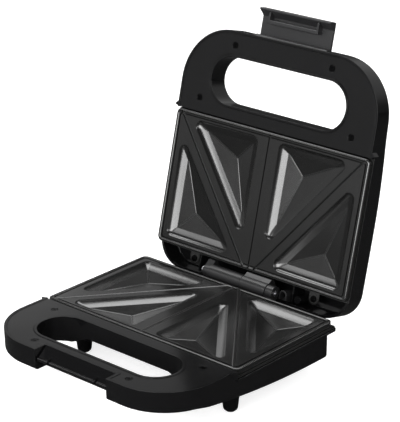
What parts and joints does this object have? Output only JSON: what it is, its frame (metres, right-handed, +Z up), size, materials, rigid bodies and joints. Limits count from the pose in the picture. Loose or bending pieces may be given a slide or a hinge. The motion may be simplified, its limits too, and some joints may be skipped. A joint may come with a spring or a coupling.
{
  "type": "sandwich toaster",
  "caption": "Open sandwich toaster with loop handles, hinged lid, swinging latch and non-stick plates with triangular pockets.",
  "frame": {"origin": "on the floor under the middle of the open toaster's bounding box", "axes": "+X to the right of a user who faces the front handle, +Y to the rear towards the hinge, +Z up"},
  "size_m": [0.2306, 0.2984, 0.2888],
  "materials": {
    "base_shell": "polished",
    "lid_shell": "polished",
    "panel": "satin",
    "latch_plastic": "satin",
    "non_stick": "satin",
    "dark_screw": "satin",
    "steel_screw": "satin",
    "pin_steel": "satin",
    "element_sheath": "matte",
    "sheet_aluminium": "satin",
    "ceramic": "matte",
    "terminal_nylon": "matte",
    "black_nylon": "matte",
    "black_rubber": "matte",
    "hinge_plastic": "satin",
    "red_lens": "polished",
    "green_lens": "polished",
    "neon_glass": "polished"
  },
  "bodies": {
    "base": {"base_housing": "base_shell", "base_handle_cover": "panel", "base_cover_screws": "dark_screw", "base_plate": "non_stick", "base_plate_screws": "steel_screw", "base_heating_element": "element_sheath", "base_heat_shield": "sheet_aluminium", "thermostat": "ceramic", "thermal_fuse": "ceramic", "terminal_block": "terminal_nylon", "cord_clamp": "black_nylon", "cord_clamp_screws": "steel_screw", "cord_gland": "black_rubber", "feet": "base_shell", "foot_pads": "black_rubber", "base_hinge_bracket": "hinge_plastic", "base_hinge_screws": "steel_screw", "hinge_pin": "pin_steel"},
    "lid": {"lid_housing": "lid_shell", "lid_handle_cover": "panel", "lid_cover_screws": "dark_screw", "lid_plate": "non_stick", "lid_plate_screws": "steel_screw", "lid_heating_element": "element_sheath", "lid_heat_shield": "sheet_aluminium", "lid_ear_screws": "dark_screw", "lid_hinge_bracket": "hinge_plastic", "lid_hinge_screws": "steel_screw", "power_lamp_lens": "red_lens", "ready_lamp_lens": "green_lens", "neon_lamps": "neon_glass", "latch_pin": "pin_steel"},
    "latch": {"latch": "latch_plastic"}
  },
  "joints": [
    {"name": "lid_hinge", "type": "hinge", "parent": "base", "child": "lid", "pos_m": [0, 0.07173, 0.0524], "axis": [1, 0, 0], "range_deg": [0, 104.1]},
    {"name": "latch_hinge", "type": "hinge", "parent": "lid", "child": "latch", "pos_m": [0, 0.13665, 0.26241], "axis": [1, 0, 0], "range_deg": [0, 90]}
  ]
}
